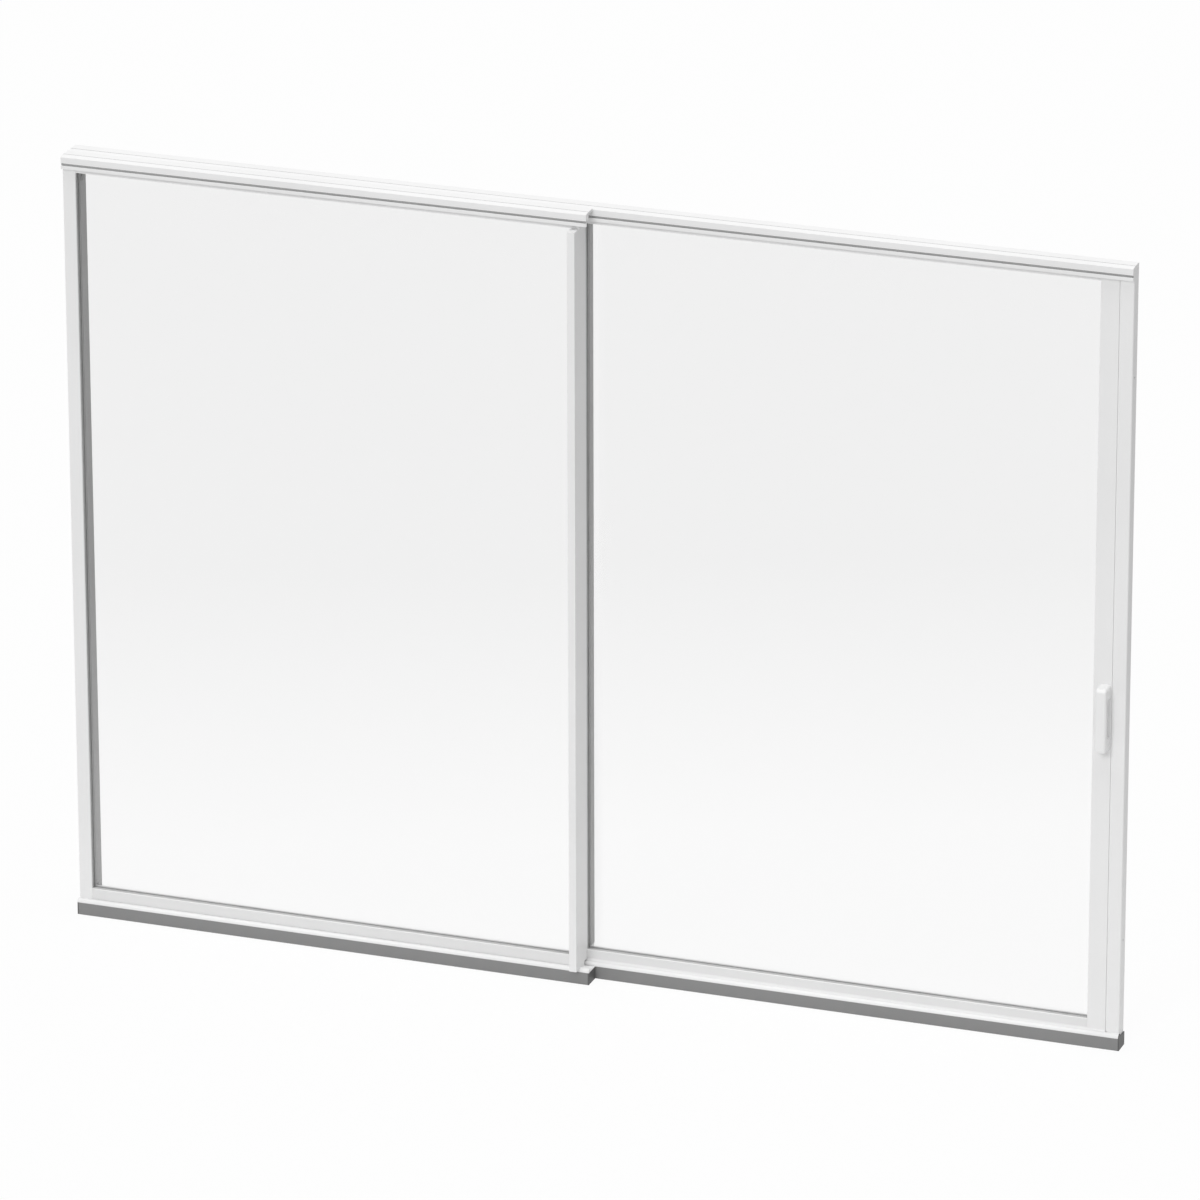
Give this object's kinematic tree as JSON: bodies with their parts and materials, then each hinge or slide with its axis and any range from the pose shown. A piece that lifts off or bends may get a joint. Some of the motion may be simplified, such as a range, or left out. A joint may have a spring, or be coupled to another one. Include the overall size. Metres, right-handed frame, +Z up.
{
  "type": "sliding patio door",
  "caption": "White sliding patio door: a fixed glazed bay stands in front of a full-width track, and a glazed panel with a pull handle slides behind it.",
  "frame": {"origin": "middle of the underside of the full-width sill, where it stands on the floor", "axes": "+X to the right seen from outside, +Y inwards from outside to inside, +Z up"},
  "size_m": [2.895, 0.147, 2.135],
  "materials": {
    "white_frame": "white powder coat on extruded aluminium, satin, very fine texture",
    "white_handle": "white powder coat on cast aluminium, satin",
    "dark_sill": "mid grey coat on extruded aluminium, matt",
    "grey_liner": "grey extruded cover strip or glass spacer, matt",
    "clear_glass": "clear float glass, polished",
    "gasket_rubber": "grey rubber, matt",
    "bare_aluminium": "mill finish aluminium",
    "latch_steel": "brushed stainless steel",
    "grey_nylon": "moulded nylon, matt"
  },
  "bodies": {
    "frame": {"sill_base": "dark_sill", "front_sill_base": "dark_sill", "sill_end_plates": "dark_sill", "front_sill_end_plates": "dark_sill", "sill_cap": "white_frame", "front_sill_cap": "white_frame", "roller_rail": "bare_aluminium", "head": "white_frame", "front_head": "white_frame", "head_end_plugs": "white_frame", "left_jamb": "white_frame", "left_jamb_liner": "grey_liner", "right_jamb": "white_frame", "latch_keeper": "latch_steel", "bumpers": "gasket_rubber", "fixed_bottom_rail": "white_frame", "fixed_top_rail": "white_frame", "fixed_meeting_stile": "white_frame", "fixed_fin_caps": "white_frame", "fixed_glass_outer": "clear_glass", "fixed_glass_inner": "clear_glass", "fixed_glass_spacer": "grey_liner", "fixed_gaskets": "gasket_rubber"},
    "sliding_panel": {"sliding_bottom_rail": "white_frame", "sliding_top_rail": "white_frame", "sliding_meeting_stile": "white_frame", "sliding_fin_caps": "white_frame", "meeting_stile_liner": "grey_liner", "lock_stile": "white_frame", "latch_plate": "latch_steel", "sliding_glass_outer": "clear_glass", "sliding_glass_inner": "clear_glass", "sliding_glass_spacer": "grey_liner", "sliding_gaskets": "gasket_rubber", "outside_handle": "white_handle", "inside_handle": "white_handle", "top_guides": "grey_nylon", "roller_axles": "latch_steel", "left_roller_housing": "grey_nylon", "left_roller_wheel": "grey_nylon", "right_roller_housing": "grey_nylon", "right_roller_wheel": "grey_nylon"}
  },
  "joints": [
    {"name": "panel_slide", "type": "slide", "parent": "frame", "child": "sliding_panel", "axis": [-1, 0, 0], "range_m": [0, 1.36]}
  ]
}
